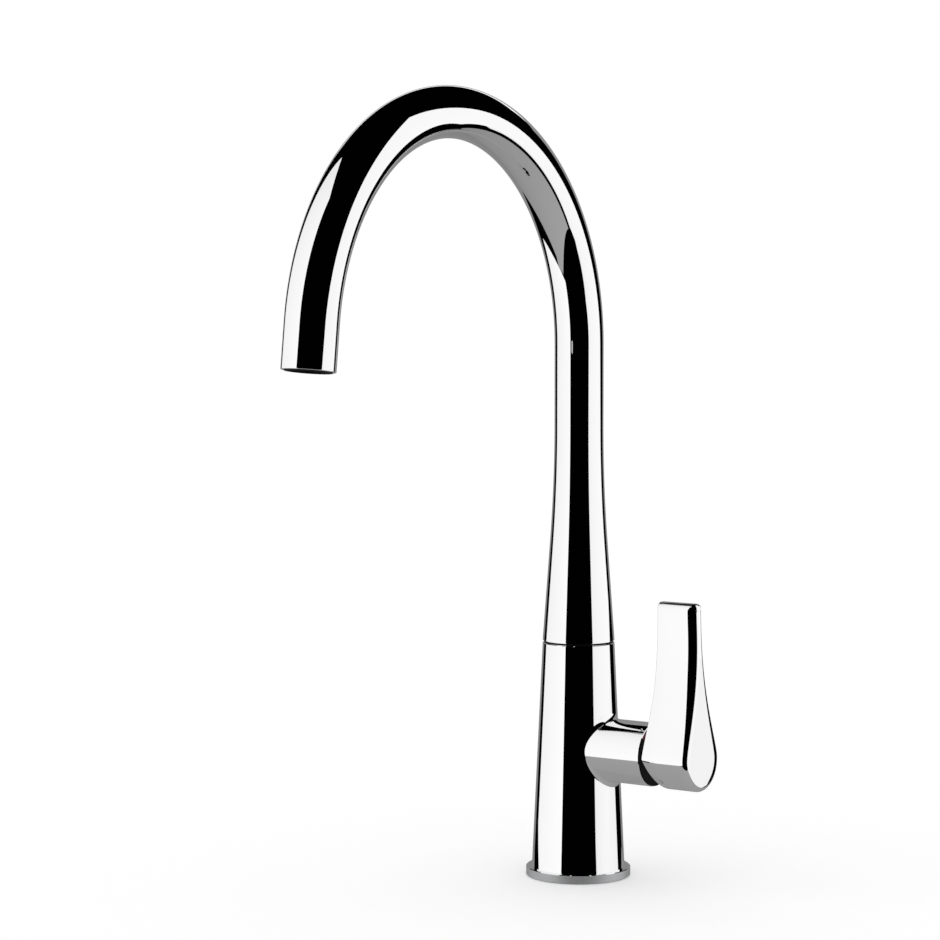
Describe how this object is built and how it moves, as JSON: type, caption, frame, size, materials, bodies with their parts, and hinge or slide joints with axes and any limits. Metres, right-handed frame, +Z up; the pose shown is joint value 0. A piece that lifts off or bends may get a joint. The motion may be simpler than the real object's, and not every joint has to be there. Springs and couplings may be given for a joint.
{
  "type": "kitchen tap",
  "caption": "Tall chrome kitchen tap with a swivelling arched spout, one side lever and a separate inner way for filtered water.",
  "frame": {"origin": "centre of the base on the worktop, on the body's axis", "axes": "+Z up along the body, outlet towards -Y, lever barrel towards +X"},
  "size_m": [0.0978, 0.2565, 0.4544],
  "materials": {
    "chrome": "polished chrome plating on brass",
    "satin_nickel": "satin",
    "brass": "turned, bare",
    "steel": "stainless",
    "zinc_steel": "zinc plated",
    "rubber": "matte black",
    "acetal": "dark grey moulded",
    "cartridge_plastic": "moulded",
    "ceramic": "lapped alumina",
    "tube_plastic": "drinking water tube",
    "outlet_plastic": "moulded",
    "red_plastic": "moulded",
    "blue_plastic": "moulded",
    "plug_plastic": "chrome-coloured"
  },
  "bodies": {
    "tap_body": {"base_ring": "satin_nickel", "base_seal": "rubber", "body_seal": "rubber", "body": "chrome", "spout_stop_screw": "steel", "tube_o_ring": "rubber", "upper_slide_ring": "acetal", "cartridge_base": "cartridge_plastic", "cartridge_seals": "rubber", "cartridge_housing": "cartridge_plastic", "fixed_disc": "ceramic", "cartridge_nut": "brass", "index_ring": "acetal", "hot_mark": "red_plastic", "cold_mark": "blue_plastic", "mounting_stud": "zinc_steel", "horseshoe_gasket": "rubber", "horseshoe_plate": "zinc_steel", "stud_nut": "brass"},
    "spout": {"spout": "chrome", "swivel_spigot": "brass", "spout_o_rings": "rubber", "lower_slide_ring": "acetal", "filtered_tube": "tube_plastic", "outlet_bush": "chrome", "aerator_washer": "rubber", "aerator_housing": "outlet_plastic", "aerator_insert": "outlet_plastic", "filter_nozzle": "outlet_plastic"},
    "cartridge_turn": {"turning_guide": "cartridge_plastic", "spindle_pin": "steel"},
    "cartridge_slide": {"moving_disc": "ceramic", "disc_driver": "cartridge_plastic"},
    "lever": {"lever": "chrome", "spindle": "brass", "lever_grub_screw": "steel", "lever_plug": "plug_plastic"}
  },
  "joints": [
    {"name": "spout_swivel", "type": "hinge", "parent": "tap_body", "child": "spout", "pos_m": [0, 0, 0.11665], "axis": [0, 0, 1], "range_deg": [-75, 75]},
    {"name": "lever_turn", "type": "hinge", "parent": "tap_body", "child": "cartridge_turn", "pos_m": [0.04151, 0, 0.0641], "axis": [1, 0, 0], "range_deg": [-60, 45]},
    {"name": "lever_tilt", "type": "hinge", "parent": "cartridge_turn", "child": "lever", "pos_m": [0.04151, 0, 0.0641], "axis": [0, 1, 0], "range_deg": [0, 25]},
    {"name": "disc_slide", "type": "slide", "parent": "cartridge_turn", "child": "cartridge_slide", "axis": [0, 0, 1], "range_m": [0, 0.0047]}
  ],
  "couplings": [
    {"joint": "disc_slide", "follows": "lever_tilt", "m_per_rad": 0.010732}
  ]
}
